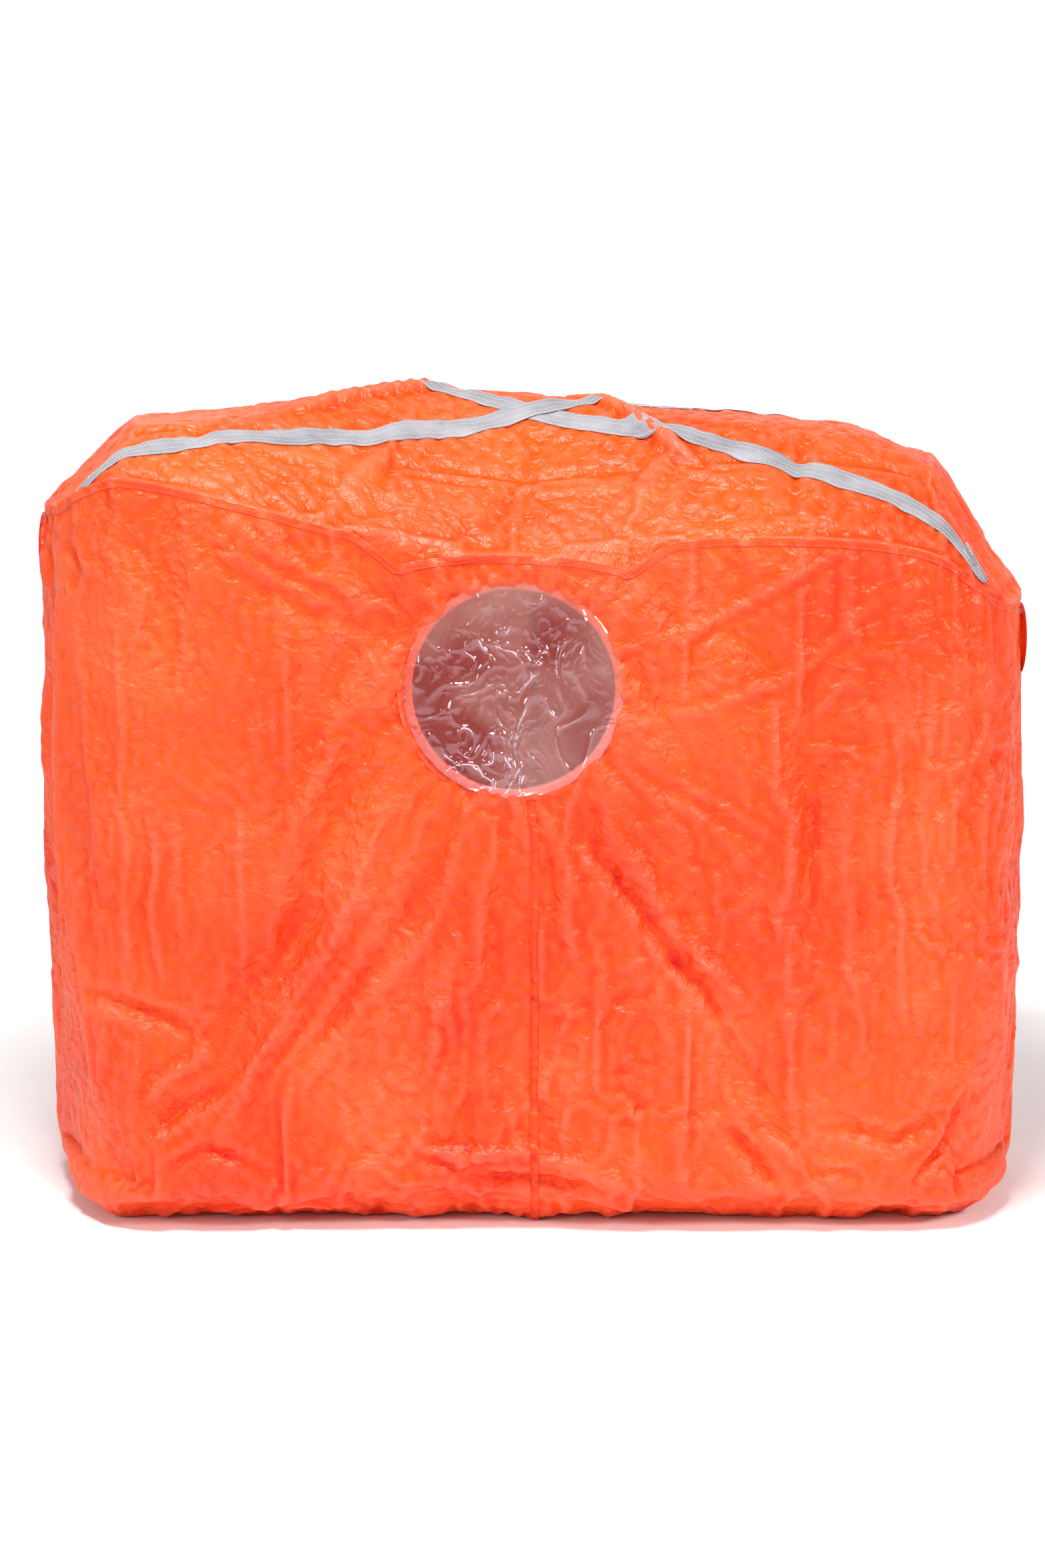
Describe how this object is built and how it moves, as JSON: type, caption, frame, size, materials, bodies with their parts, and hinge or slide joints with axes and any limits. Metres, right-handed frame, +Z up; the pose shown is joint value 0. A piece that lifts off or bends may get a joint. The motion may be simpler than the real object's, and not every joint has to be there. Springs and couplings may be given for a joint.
{
  "type": "emergency group shelter",
  "caption": "Two-person emergency storm shelter: a bright cloth bag, open below, with a round clear window, crossed reflective tapes and vents.",
  "frame": {"origin": "middle of the ground under the bag: the bottom centre of its box", "axes": "+Z up, +X along the long side to the viewer's right, the window wall faces -Y"},
  "size_m": [1.4, 0.52, 1.1512],
  "materials": {
    "shell_cloth": "satin",
    "seat_cloth": "matte",
    "window_film": "gloss",
    "reflective_tape": "satin",
    "eyelet_brass": "satin",
    "drawcord": "matte",
    "lock_plastic": "matte",
    "spring_steel": "satin"
  },
  "bodies": {
    "shelter": {"roof_panel": "shell_cloth", "left_wall_panel": "shell_cloth", "right_wall_panel": "shell_cloth", "window_film": "window_film", "window_facing": "shell_cloth", "reflective_tape_under": "reflective_tape", "reflective_tape_over": "reflective_tape", "hem_casing": "shell_cloth", "hem_eyelet": "eyelet_brass", "hem_drawcord": "drawcord", "hem_cord_lock_body": "lock_plastic", "hem_cord_lock_spring": "spring_steel", "left_seat_panel": "seat_cloth", "left_vent_sleeve": "shell_cloth", "left_vent_cord": "drawcord", "left_vent_lock_body": "lock_plastic", "left_vent_lock_spring": "spring_steel", "right_seat_panel": "seat_cloth", "right_vent_sleeve": "shell_cloth", "right_vent_cord": "drawcord", "right_vent_lock_body": "lock_plastic", "right_vent_lock_spring": "spring_steel"},
    "hem_plunger": {"hem_cord_lock_plunger": "lock_plastic"},
    "left_vent_plunger": {"left_vent_lock_plunger": "lock_plastic"},
    "right_vent_plunger": {"right_vent_lock_plunger": "lock_plastic"}
  },
  "joints": [
    {"name": "hem_lock_press", "type": "slide", "parent": "shelter", "child": "hem_plunger", "axis": [0, 0, 1], "range_m": [-0.0042, 0], "stiffness_N_per_m": 400, "springref_m": 0.005, "deforming": ["hem_cord_lock_spring"]},
    {"name": "left_vent_lock_press", "type": "slide", "parent": "shelter", "child": "left_vent_plunger", "axis": [1, 0, 0], "range_m": [-0.0042, 0], "stiffness_N_per_m": 400, "springref_m": 0.005, "deforming": ["left_vent_lock_spring"]},
    {"name": "right_vent_lock_press", "type": "slide", "parent": "shelter", "child": "right_vent_plunger", "axis": [-1, 0, 0], "range_m": [-0.0042, 0], "stiffness_N_per_m": 400, "springref_m": 0.005, "deforming": ["right_vent_lock_spring"]}
  ]
}
